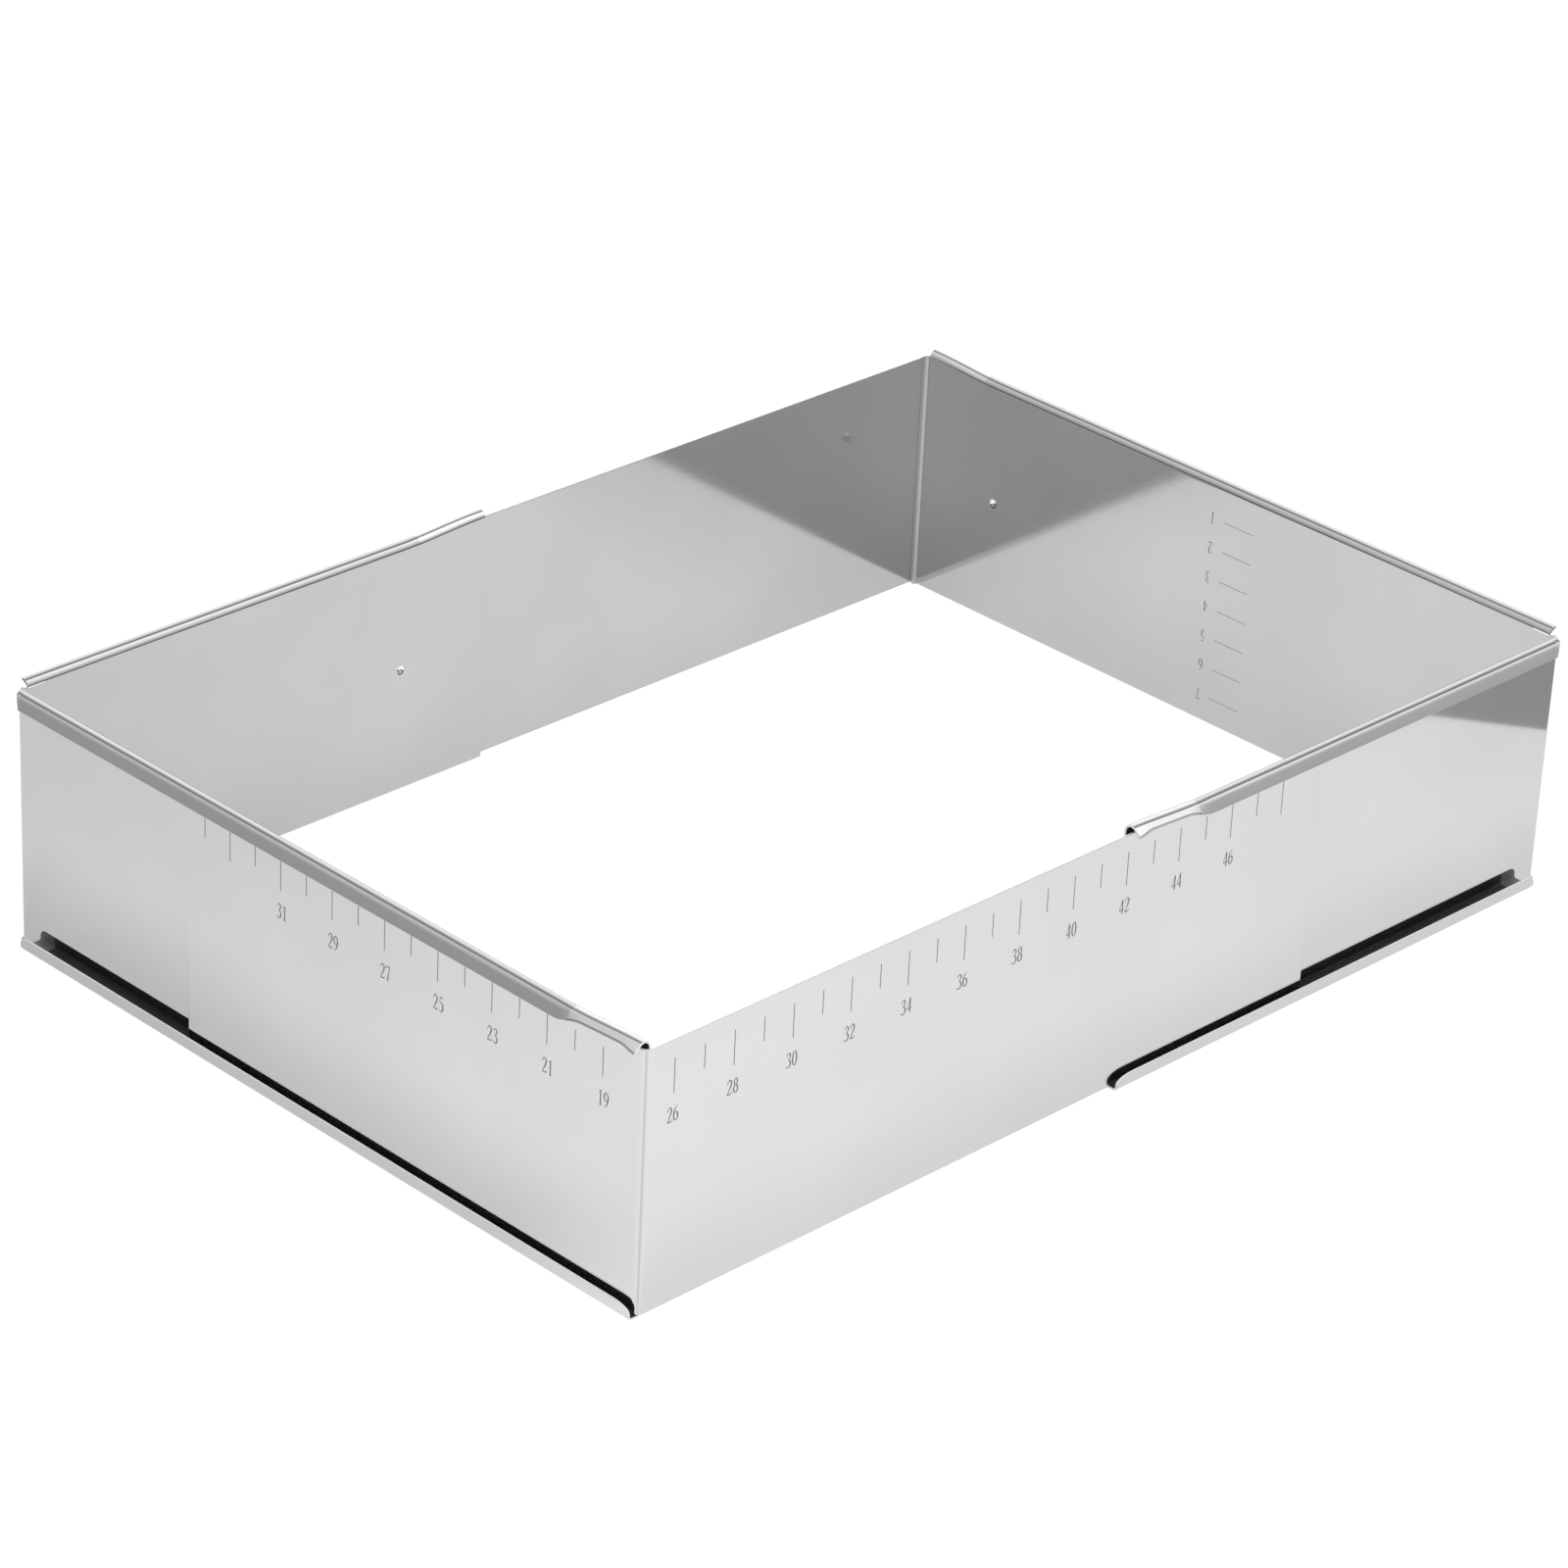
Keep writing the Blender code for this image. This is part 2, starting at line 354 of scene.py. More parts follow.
@dataclass
class Finishes:
    """The frame's finishes, each built once and shared by its pieces."""

    outer: Finish = SteelFinish("outer_polish", 0.76, 0.06)
    # Inner faces: the same polish made darker, painted shade inside the ring
    inner: Finish = SteelFinish("inner_polish_painted_shade", 0.437, 0.09, cloud=0.03)
    # Inside of the short arm's turned end: the polish made darker still, painted shade
    turned: Finish = SteelFinish("turned_end_painted_shade", 0.34, 0.14)
    # Hook's outside at an arm's mouth: the polish made brighter, a painted highlight
    mouth: Finish = SteelFinish("mouth_painted_highlight", 0.97, 0.06)
    # Cut rims: matte, and painted near-white as a painted highlight along every rim
    edge: Finish = MatteFinish("cut_edge", 0.95, 0.45, 0.0, 0.04)
    channel: Finish = MatteFinish("shaded_channel", 0.075, 0.5, 0.3, 0.06)
    shade: Finish = MatteFinish("channel_shade", 0.30, 0.5, 0.3, 0.06)
    # Channel and hook near the corner: pale, painted light falling into them
    open_end: Finish = MatteFinish("channel_end_painted_light", 0.88, 0.5, 0.0, 0.04)
    # Faces in the slot beside a tongue's or a wall's free end: pale, painted light in the slot
    hidden: Finish = MatteFinish("slot_face_painted_light", 0.92, 0.6, 0.0, 0.03)
    etching: Finish = MatteFinish("etched_mark", 0.27, 0.6, 0.2, 0.12)
    number: Finish = MatteFinish("etched_number", 0.18, 0.6, 0.2, 0.12)
    faint: Finish = MatteFinish("faint_mark", 0.50, 0.6, 0.2, 0.12)
    built: dict[str, bpy.types.Material] = field(default_factory=dict)

    def of(self, finish: Finish) -> bpy.types.Material:
        """Material of a finish.

        Args:
            finish: One of the fields above.

        Returns:
            Its material, built on first use.
        """
        if finish.name not in self.built:
            self.built[finish.name] = finish.material()
        return self.built[finish.name]

    def sheet_slots(self) -> list[bpy.types.Material]:
        """Materials of a sheet.

        Returns:
            For each skin in order, those of its outer face, its inner face and its rim.
        """
        faces = {
            Skin.WALL: (self.outer, self.inner, self.edge),
            Skin.FLANGE: (self.channel, self.outer, self.edge),
            Skin.HEEL: (self.channel, self.inner, self.edge),
            Skin.DENT: (self.outer, self.outer, self.edge),
            Skin.END: (self.open_end, self.outer, self.shade),
            Skin.SHADE: (self.shade, self.outer, self.edge),
            Skin.TURN: (self.outer, self.turned, self.inner),
            Skin.MOUTH: (self.channel, self.mouth, self.edge),
            Skin.WALL_END: (self.hidden, self.inner, self.edge),
            Skin.TONGUE_END: (self.outer, self.hidden, self.edge),
        }
        return [self.of(finish) for skin in Skin for finish in faces[skin]]


@dataclass(frozen=True)
class SheetStock:
    """Sheet that a corner is folded from."""

    thickness: float = 0.0006
    # Upright bend, measured on the outer face
    bend_radius: float = 0.0015
    bend_steps: int = 14
    # Rounding of the cut edges, and width of the strip that keeps a cut from shading the flat
    edge_round: float = 0.00011
    edge_guard: float = 0.0004

    @property
    def middle(self) -> float:
        """Middle of the sheet, outwards from its outer face."""
        return -self.thickness / 2


@dataclass(frozen=True)
class RingSetting:
    """How far the ring is pulled out, and the clearances that place its sheets."""

    # Clear length between the end walls, and a channel corner's short arm, which sets the width
    inside_length: float = 0.343
    channel_short_arm: float = 0.244
    # Gaps from a channel wall to its tongue, at the end of the short side's travel, and from a
    # tongue to the channel's floor
    tongue_gap: float = 0.001
    stop_gap: float = 0.0003
    floor_gap: float = 0.0003

    def channel_corner(self, stock: SheetStock) -> Vector:
        """Outer corner of the right channel sheet at table height."""
        return Vector((self.inside_length / 2 + stock.thickness,
                       -(self.channel_short_arm - self.tongue_gap + self.stop_gap) / 2, 0))

    def scale_corner(self, stock: SheetStock) -> Vector:
        """Outer corner of the front scale sheet at table height."""
        wall, reach = self.channel_corner(stock), self.tongue_gap + stock.thickness
        return Vector((-wall.x - reach, wall.y - reach, 0))


@dataclass(frozen=True)
class Stroke:
    """One pen stroke of a numeral, in shares of its height."""

    # Points of the pen's middle, half its width there, and whether straight lines join them
    points: tuple[Point, ...]
    halves: tuple[float, ...]
    straight: bool = False
    # Samples from one point to the next on a curve
    steps: int = 6

    def samples(self) -> list[tuple[Vector, float]]:
        """Points and half widths along the stroke.

        Returns:
            The samples from its start to its end.
        """
        spots = [Vector(point) for point in self.points]
        if self.straight:
            return list(zip(spots, self.halves))
        padded = [spots[0] * 2 - spots[1], *spots, spots[-1] * 2 - spots[-2]]
        out = []
        for index in range(len(spots) - 1):
            a, b, c, d = padded[index:index + 4]
            for step in range(self.steps):
                u = step / self.steps
                place = 0.5 * (2 * b + (c - a) * u + (2 * a - 5 * b + 4 * c - d) * u * u
                               + (3 * b - a - 3 * c + d) * u ** 3)
                out.append((place, self.halves[index] * (1 - u) + self.halves[index + 1] * u))
        out.append((spots[-1], self.halves[-1]))
        return out

    def turned(self, centre: Point) -> Stroke:
        """The stroke turned half round about a point."""
        return Stroke(tuple((2 * centre[0] - x, 2 * centre[1] - y) for x, y in self.points),
                      self.halves, self.straight)


def ring_stroke(centre: Point, wide: float, tall: float, thin: float, thick: float) -> Stroke:
    """Closed oval stroke of half sizes, thin at top and bottom and thick at its sides."""
    angles = [math.tau * step / 16 for step in range(17)]
    return Stroke(tuple((centre[0] + wide * math.cos(a), centre[1] + tall * math.sin(a))
                        for a in angles),
                  tuple(thin + (thick - thin) * abs(math.cos(a)) for a in angles))


SIX = (Stroke(((.42, .99), (.26, .90), (.12, .68), (.06, .40), (.10, .12), (.24, .015),
               (.38, .10), (.43, .30), (.38, .50), (.26, .57), (.12, .47)),
              (.012, .025, .045, .052, .045, .022, .042, .052, .042, .022, .014)),)
NUMERALS: dict[str, tuple[Stroke, ...]] = {
    "0": (ring_stroke((.25, .5), .19, .48, .02, .052),),
    "1": (Stroke(((.27, .0), (.27, 1.0)), (.045, .045), True),
          Stroke(((.12, .015), (.42, .015)), (.016, .016), True),
          Stroke(((.27, .98), (.10, .84)), (.022, .014), True)),
    "2": (Stroke(((.06, .72), (.10, .89), (.23, .985), (.37, .92), (.41, .76), (.33, .52),
                  (.18, .26), (.05, .06)), (.02, .026, .03, .042, .052, .046, .03, .02)),
          Stroke(((.04, .04), (.40, .04), (.46, .17)), (.036, .036, .014), True)),
    "3": (Stroke(((.07, .80), (.13, .93), (.25, .985), (.37, .92), (.39, .77), (.31, .61),
                  (.19, .545)), (.02, .026, .03, .042, .046, .03, .016)),
          Stroke(((.19, .545), (.35, .48), (.43, .30), (.37, .09), (.22, .015), (.08, .06),
                  (.04, .13)), (.016, .034, .052, .042, .024, .03, .032))),
    "4": (Stroke(((.335, .99), (.03, .30)), (.018, .018), True),
          Stroke(((.03, .285), (.47, .285)), (.028, .028), True),
          Stroke(((.34, 1.0), (.34, .0)), (.045, .045), True)),
    "5": (Stroke(((.14, .965), (.43, .965)), (.032, .032), True),
          Stroke(((.145, .97), (.10, .60)), (.018, .018), True),
          Stroke(((.10, .60), (.24, .615), (.38, .52), (.42, .32), (.36, .10), (.22, .015),
                  (.07, .06)), (.018, .03, .046, .052, .044, .024, .03))),
    "6": SIX,
    "7": (Stroke(((.05, .96), (.46, .96)), (.036, .036), True),
          Stroke(((.45, .95), (.31, .56), (.20, .0)), (.018, .034, .046)),
          Stroke(((.055, .96), (.04, .80)), (.014, .014), True)),
    "8": (ring_stroke((.25, .755), .145, .225, .018, .042),
          ring_stroke((.25, .27), .185, .26, .02, .05)),
    "9": tuple(stroke.turned((.245, .5)) for stroke in SIX),
}


@dataclass(frozen=True)
class Engraver:
    """Pen that lays numerals on a face as very thin plates."""

    # Height of a numeral, and shares of it: the step to the next one, and how narrow it is
    height: float = 0.0042
    advance: float = 0.49
    narrow: float = 0.86
    # Depth of a plate in the sheet, its height above the face, and what parts crossing strokes
    sunk: float = 0.00005
    proud: float = 0.00002
    lift: float = 0.000002

    def add_stroke(self, plates: bmesh.types.BMesh, stroke: Stroke, corner: Vector,
                   place: Matrix, lift: float) -> None:
        """Add one stroke.

        Args:
            plates: Mesh that takes the stroke.
            stroke: Stroke in shares of the height.
            corner: Lower left corner of the numeral on the face.
            place: From the face to the world.
            lift: Small extra height that keeps crossing strokes apart.
        """
        samples = stroke.samples()
        last = len(samples) - 1
        closed = (samples[0][0] - samples[-1][0]).length < 1e-6
        rings = []
        for index, (spot, half) in enumerate(samples):
            before, after = samples[max(index - 1, 0)][0], samples[min(index + 1, last)][0]
            if closed and index in (0, last):
                before, after = samples[-2][0], samples[1][0]
            run = (after - before).normalized()
            side = Vector((-run.y, run.x)) * half
            low, high = -self.sunk, self.proud + lift
            rings.append([plates.verts.new(place @ Vector(
                (corner.x + (spot.x * self.narrow + sign * side.x) * self.height,
                 corner.y + (spot.y + sign * side.y) * self.height, level)))
                for sign, level in ((1, low), (-1, low), (-1, high), (1, high))])
        for near, far in zip(rings, rings[1:]):
            for index in range(4):
                plates.faces.new((near[index], near[index - 1], far[index - 1], far[index]))
        plates.faces.new(rings[0])
        plates.faces.new(rings[-1][::-1])

    def piece(self, name: str, numbers: Iterable[tuple[int, Point, Matrix]],
              material: bpy.types.Material) -> bpy.types.Object:
        """Write several numbers as one piece.

        Args:
            name: Name of the piece.
            numbers: Each number with its middle on the face and the face's place.
            material: Material of the engraving.

        Returns:
            The piece.
        """
        plates = bmesh.new()
        for number, middle, place in numbers:
            left = middle[0] - len(str(number)) * self.advance * self.height / 2
            for index, numeral in enumerate(str(number)):
                corner = Vector((left + index * self.advance * self.height,
                                 middle[1] - self.height / 2))
                for order, stroke in enumerate(NUMERALS[numeral]):
                    self.add_stroke(plates, stroke, corner, place, order * self.lift)
        bmesh.ops.recalc_face_normals(plates, faces=plates.faces)
        return piece_from(name, plates, [material])


class TickTree:
    """Geometry Nodes tree that rules a row of ticks hanging from a line."""

    SIZES = ("Count", "First", "Pitch", "Even Length", "Odd Length", "Width", "Sunk", "Proud")

    def __init__(self, name: str, material: bpy.types.Material) -> None:
        """Build the tree.

        Args:
            name: Name of the tree.
            material: Material of the ticks.
        """
        self.tree = bpy.data.node_groups.new(name, "GeometryNodeTree")
        face = self.tree.interface
        face.new_socket("Geometry", in_out="OUTPUT", socket_type="NodeSocketGeometry")
        self.keys = {size: face.new_socket(
            size, in_out="INPUT", socket_type="NodeSocketInt" if size == "Count"
            else "NodeSocketFloat").identifier for size in self.SIZES}
        graph = Graph(self.tree)
        sizes = graph.nodes.new("NodeGroupInput").outputs

        row = graph.add("GeometryNodeMeshLine", {
            "Count": sizes["Count"], "Start Location": graph.vector(x=sizes["First"]),
            "Offset": graph.vector(x=sizes["Pitch"])}, mode="OFFSET")
        odd = graph.calc("MODULO", graph.add("GeometryNodeInputIndex"), 2.0)
        length = graph.add("GeometryNodeSwitch", {
            "Switch": odd, "False": sizes["Even Length"], "True": sizes["Odd Length"]},
            input_type="FLOAT")
        depth = graph.calc("ADD", sizes["Sunk"], sizes["Proud"])
        plate = graph.add("GeometryNodeMeshCube", {"Size": (1.0, 1.0, 1.0)})
        hung = graph.add("GeometryNodeTransform", {
            "Geometry": plate, "Translation": (0.0, -0.5, 0.5)})
        ticks = graph.add("GeometryNodeInstanceOnPoints", {
            "Points": row, "Instance": hung, "Scale": graph.vector(sizes["Width"], length, depth)})
        real = graph.add("GeometryNodeRealizeInstances", {"Geometry": ticks})
        seated = graph.add("GeometryNodeTransform", {
            "Geometry": real,
            "Translation": graph.vector(z=graph.calc("MULTIPLY", sizes["Sunk"], -1.0))})
        painted = graph.add("GeometryNodeSetMaterial", {"Geometry": seated, "Material": material})
        graph.feed(graph.nodes.new("NodeGroupOutput").inputs["Geometry"], painted)

    def ticks(self, name: str, sizes: dict[str, float], place: Matrix) -> bpy.types.Object:
        """Rule one row of ticks.

        Args:
            name: Name of the row.
            sizes: A value for each of the tree's named inputs.
            place: From the face to the world.

        Returns:
            The row as a plain mesh in its place.
        """
        obj = piece_from(name, bmesh.new())
        rule = obj.modifiers.new("rule", "NODES")
        rule.node_group = self.tree
        for key, value in sizes.items():
            rule[self.keys[key]] = value
        return baked(obj, place)


def face_place(corner: Matrix, origin: Sequence[float], along: Sequence[float],
               up: Sequence[float]) -> Matrix:
    """Place of a face's own axes.

    Args:
        corner: Where the sheet's local origin goes.
        origin: Origin of the face on the sheet.
        along: Reading direction.
        up: Upward direction of the writing.

    Returns:
        The matrix from (along, up, outwards) to the world.
    """
    x, y = Vector(along), Vector(up)
    local = Matrix((x, y, x.cross(y))).transposed().to_4x4()
    local.translation = Vector(origin)
    return corner @ local


def joined(name: str, parts: Sequence[bpy.types.Object]) -> bpy.types.Object:
    """Join plain meshes that share a material into one piece.

    Args:
        name: Name of the piece.
        parts: Objects at the origin, which are removed.

    Returns:
        The piece.
    """
    whole = bmesh.new()
    for part in parts:
        whole.from_mesh(part.data)
    piece = piece_from(name, whole, parts[0].data.materials)
    for part in parts:
        bpy.data.meshes.remove(part.data)
    return piece


@dataclass(frozen=True)
class Column:
    """One column of a sheet's loft.

    It holds its distance from the arm's free end, infinite in the upright bend, its distance
    from the sheet's corner, and its points, with None where the corner has no flange.
    """

    distance: float
    to_corner: float
    points: list[Place | None]


@dataclass
class FoldedCorner(ABC):
    """A corner of the ring: an L-shaped sheet, lofted from one free end to the other.

    The corner of its outer faces is at the local origin. The short arm runs along +Y. The long
    arm runs along +X for hand 1 and along -X for hand -1. A kind of corner adds its kind's
    name, its hand, the lengths of its arms and the methods that are left open here.
    """

    corner: Corner
    stock: SheetStock
    ring: RingSetting
    finishes: Finishes
    ticks: TickTree

    @property
    @abstractmethod
    def origin(self) -> Vector:
        """Outer corner of the near sheet of this kind."""

    @abstractmethod
    def section(self, t: float | None, to_corner: float) -> Section:
        """Middle of the sheet at a distance from a free end, or with None at the corner."""

    @abstractmethod
    def stations(self, arm: float) -> list[float]:
        """Distances from an arm's free end at which the section is drawn."""

    @abstractmethod
    def skin(self, row: int, t: float, to_corner: float, level: float) -> Skin:
        """Skin of the face in a strip of the section, at its distances and height."""

    @abstractmethod
    def rules(self) -> list[bpy.types.Object]:
        """Engrave the sheet's ticks and numbers."""

    @property
    def place(self) -> Matrix:
        """Where the sheet's local origin goes."""
        return Matrix.Rotation(self.corner.turn, 4, "Z") @ Matrix.Translation(self.origin)

    @property
    def tongue_bottom(self) -> float:
        """Height of a tongue's lower edge."""
        return self.stock.thickness + self.ring.floor_gap

    def columns(self) -> list[Column]:
        """Places of the middle surface, one column for each station.

        Returns:
            The columns from the long arm's free end to the short arm's.
        """
        columns = []
        radius = self.stock.bend_radius
        for t in self.stations(self.long_arm):
            rest = self.long_arm - t
            columns.append(Column(t, rest, [point and (rest, -point[0], point[1])
                                            for point in self.section(t, rest)]))
        for step in range(self.stock.bend_steps + 1):
            angle = math.pi / 2 * step / self.stock.bend_steps
            columns.append(Column(math.inf, 0.0, [
                point and (radius - (radius + point[0]) * math.sin(angle),
                           radius - (radius + point[0]) * math.cos(angle), point[1])
                for point in self.section(None, 0.0)]))
        for t in reversed(self.stations(self.short_arm)):
            rest = self.short_arm - t
            columns.append(Column(t, rest, [point and (-point[0], rest, point[1])
                                            for point in self.section(t, rest)]))
        return columns

    def middle_surface(self) -> bmesh.types.BMesh:
        """Loft the columns into the sheet's middle surface.

        Returns:
            The surface, whose faces point outwards from the ring.
        """
        sheet = bmesh.new()
        columns = self.columns()
        grid = [[point and sheet.verts.new((self.hand * point[0], point[1], point[2]))
                 for point in column.points] for column in columns]
        for index, (near, far) in enumerate(zip(grid, grid[1:])):
            distance = (columns[index].distance + columns[index + 1].distance) / 2
            to_corner = (columns[index].to_corner + columns[index + 1].to_corner) / 2
            for row in range(len(near) - 1):
                ring = (near[row], far[row], far[row + 1], near[row + 1])
                if all(ring):
                    face = sheet.faces.new(ring[::-self.hand])
                    level = face.calc_center_median().z
                    face.material_index = self.skin(row, distance, to_corner, level).value
                    face.smooth = True
        return sheet

    def sheet(self) -> bpy.types.Object:
        """Give the middle surface its thickness and rounded edges.

        Returns:
            The finished sheet, with its place in its mesh.
        """
        obj = piece_from(f"{self.corner.value}_{self.kind}_sheet", self.middle_surface(),
                         self.finishes.sheet_slots())
        set_up(obj.modifiers.new("thickness", "SOLIDIFY"), thickness=self.stock.thickness,
               offset=0.0, use_even_offset=True, use_quality_normals=True,
               material_offset=1, material_offset_rim=2)
        set_up(obj.modifiers.new("cut_edges", "BEVEL"), width=self.stock.edge_round, segments=2,
               limit_method="ANGLE", angle_limit=math.radians(50), harden_normals=True,
               use_clamp_overlap=False)
        return baked(obj, self.place)

    def build(self) -> list[bpy.types.Object]:
        """Build the sheet and its rules, and hand them to the corner's body.

        Returns:
            The pieces.
        """
        sheet = self.sheet()
        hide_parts(f"{self.corner.value}_{self.kind}_corner")
        pieces = [sheet, *self.rules()]
        for piece in pieces:
            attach(piece, self.corner.value)
        return pieces


@dataclass(frozen=True)
class Rule:
    """An engraved rule along an arm, which states a side's length in centimetres."""

    # Numbers of the first and last tick, and the last number that is written
    first: int
    last: int
    last_label: int
    # First tick's distance from the sheet's corner
    first_at: float
    # Lengths of the numbered ticks, with every second one after them, and of those between
    even_length: float
    odd_length: float
    # Step from tick to tick, and a number's place under its tick and towards the corner
    pitch: float = 0.01
    drop: float = 0.006
    set_off: float = 0.0


@dataclass
class ScaleCorner(FoldedCorner):
    """A plain folded sheet whose arms are the tongues, with a rule on each arm."""

    kind = "scale"
    hand = 1

    engraver: Engraver = Engraver()
    height: float = 0.075
    long_arm: float = 0.2445
    short_arm: float = 0.172
    # Rounding of the free ends' corners, and the length there whose back is painted pale, painted
    # light in the slot
    end_round: float = 0.003
    dull_end: float = 0.006
    # Height of the ticks' upper ends over the sheet's lower edge, and their width
    tick_top: float = 0.0699
    tick_width: float = 0.00028
    long_rule: Rule = Rule(26, 48, 46, 0.0096, 0.0098, 0.0069)
    short_rule: Rule = Rule(19, 34, 31, 0.0149, 0.0085, 0.0057, set_off=0.0006)

    @property
    def origin(self) -> Vector:
        """Outer corner of the front sheet."""
        return self.ring.scale_corner(self.stock)

    def section(self, t: float | None, _to_corner: float) -> Section:
        """Section at a distance from an arm's free end.

        Args:
            t: The distance, or None at the corner.
            _to_corner: Distance from the sheet's corner, which has no effect here.

        Returns:
            The sheet's middle from its lower edge to its upper one.
        """
        inset = 0.0
        if t is not None:
            inset = self.end_round * (1 - quarter_round(t / self.end_round))
        low, high = self.tongue_bottom + inset, self.tongue_bottom + self.height - inset
        guard = self.stock.edge_guard
        return [(self.stock.middle, level) for level in (low, low + guard, high - guard, high)]

    def stations(self, arm: float) -> list[float]:
        """Distances from an arm's free end at which the section is drawn."""
        return [*(self.end_round * share for share in (0.0, 0.08, 0.17, 0.29, 0.43, 0.62, 1.0)),
                self.dull_end, arm - self.stock.bend_radius - self.stock.edge_guard]

    def skin(self, _row: int, t: float, _to_corner: float, _level: float) -> Skin:
        """Skin of a face at a distance from an arm's free end."""
        # Near a free end the back is painted pale: painted light in the slot
        return Skin.TONGUE_END if t < self.dull_end else Skin.WALL

    def rules(self) -> list[bpy.types.Object]:
        """Engrave both rules.

        Returns:
            The ticks and the numbers.
        """
        start = (0, 0, self.tongue_bottom + self.tick_top)
        rows, numbers = [], []
        for rule, along, way in ((self.long_rule, (1, 0, 0), 1), (self.short_rule, (0, -1, 0), -1)):
            face = face_place(self.place, start, along, (0, 0, 1))
            rows.append(self.ticks.ticks(
                f"{self.corner.value}_row_{rule.first}",
                {"Count": rule.last - rule.first + 1, "First": way * rule.first_at,
                 "Pitch": way * rule.pitch, "Even Length": rule.even_length,
                 "Odd Length": rule.odd_length, "Width": self.tick_width,
                 "Sunk": self.engraver.sunk, "Proud": self.engraver.proud}, face))
            for number in range(rule.first, rule.last_label + 1, 2):
                at = rule.first_at + (number - rule.first) * rule.pitch - rule.set_off
                numbers.append((number, (way * at, -rule.even_length - rule.drop), face))
        return [joined(f"{self.corner.value}_rule_ticks", rows),
                self.engraver.piece(f"{self.corner.value}_rule_numbers", numbers,
                                    self.finishes.of(self.finishes.number))]


@dataclass
class ChannelCorner(FoldedCorner):
    """A folded sheet whose arms have a hooked top edge and a turned-up bottom lip."""

    kind = "channel"
    hand = -1

    long_arm: float
    engraver: Engraver = Engraver(height=0.0036)
    # A tongue's height, its gap to the lip and its room under the hook
    tongue_height: float = 0.075
    lip_gap: float = 0.0015
    hook_room: float = 0.0007
    # Lip: height of its free edge, fold radius at mid sheet, rounding and lowest height of its
    # free end, and its least rise over the fold
    lip_height: float = 0.004
    lip_fold: float = 0.001
    lip_corner: float = 0.006
    lip_root_share: float = 0.2
    lip_least: float = 0.0001
    # Hook: straight edge past its curl, and lean of that edge
    hook_edge: float = 0.0028
    hook_angle: float = math.radians(24)
    # Mouth at the arm's free end: the same, its length, its run into the hook, the width of the
    # strip along its free edge that is painted darker, a painted shadow line, and how far it lifts
    # the hook
    mouth_edge: float = 0.0018
    mouth_angle: float = math.radians(44)
    mouth_length: float = 0.0195
    mouth_blend: float = 0.0095
    mouth_rim: float = 0.0006
    mouth_rise: float = 0.0012
    # Flare at the mouth's very end
    flare_edge: float = 0.0028
    flare_angle: float = math.radians(49)
    flare_length: float = 0.006
    # Distances from the corner at which the hook and the lip stop, the lengths over which they
    # grow there, and the length that is cut off the hook
    corner_relief: float = 0.0034
    corner_slant: float = 0.003
    corner_cut: float = 0.0044
    lip_relief: float = 0.0043
    lip_round: float = 0.0024
    # Distances from the corner to which light falls into the hook and into the channel, and the
    # rounding of the channel's shaded end on the heel
    open_to: float = 0.009
    shade_to: float = 0.0105
    slot_round: float = 0.0025
    # Height of the corner's top under the hook's top
    corner_drop: float = 0.0013
    # Pressed bump: its radius, distance from the free end, gap to the tongue, and the rise over
    # which its hollow takes the brighter outer polish, a painted highlight
    bump_radius: float = 0.0018
    bump_from_end: float = 0.031
    bump_gap: float = 0.0003
    bump_polish: float = 0.00015
    # Height up to which the outside of a wall's free end is painted pale, painted light in the slot
    dull_top: float = 0.0745
    # Radius in which the short arm's free end is turned inwards, or zero
    turn_radius: float = 0.0
    # Height rule: first tick, step, count, length and width, place along the arm, and how far a
    # number stands beside its tick
    height_first: float = 0.0084
    height_pitch: float = 0.0095
    height_count: int = 7
    height_tick: float = 0.011
    tick_width: float = 0.0003
    height_at: float = 0.12265
    height_number_step: float = 0.0046
    # Least steps between two stations, from the free end on and near the corner
    free_step: float = 0.00018
    corner_step: float = 0.0001

    @property
    def short_arm(self) -> float:
        """Length of the short arm, which sets the ring's width."""
        return self.ring.channel_short_arm

    @property
    def origin(self) -> Vector:
        """Outer corner of the right sheet."""
        return self.ring.channel_corner(self.stock)

    @property
    def fold_level(self) -> float:
        """Height of the middle of the lip's folds."""
        return self.stock.thickness / 2 + self.lip_fold

    @property
    def lip_middle(self) -> float:
        """Middle of the lip, outwards from the wall's outer face."""
        return self.ring.tongue_gap + self.stock.thickness * 1.5 + self.lip_gap

    @property
    def hook_radius(self) -> float:
        """Radius of the hook's curl at the middle of the sheet."""
        return (self.lip_middle - self.stock.middle) / 2

    @property
    def hook_top(self) -> float:
        """Height of the hook's top along most of the arm."""
        return self.tongue_bottom + self.tongue_height + self.hook_room + self.stock.thickness

    @property
    def bump_level(self) -> float:
        """Height of the pressed bump."""
        return self.tongue_bottom + self.tongue_height / 2

    def at_mouth(self, t: float, along: float, mouth: float, end: float) -> float:
        """A value along the hook, from most of the arm through the mouth to the very end."""
        base = mouth + (along - mouth) * ease((t - self.mouth_length) / self.mouth_blend)
        return base + (end - mouth) * (1 - ease(t / self.flare_length))

    def bulge(self, t: float, level: float) -> float:
        """Outward rise of the wall at the pressed bump.

        Args:
            t: Distance from the arm's free end.
            level: Height on the wall.

        Returns:
            The rise, which is zero away from the bump.
        """
        away = math.hypot(t - self.bump_from_end, level - self.bump_level) / self.bump_radius
        rise = self.ring.tongue_gap - self.bump_gap
        return rise * (1 - away * away) ** 2 if away < 1 else 0.0

    def spring(self, t: float) -> float:
        """Height at which the hook's curl starts."""
        rise = self.mouth_rise * (1 - ease(t / (self.mouth_length + self.mouth_blend)))
        return self.hook_top - self.stock.thickness / 2 - self.hook_radius + rise

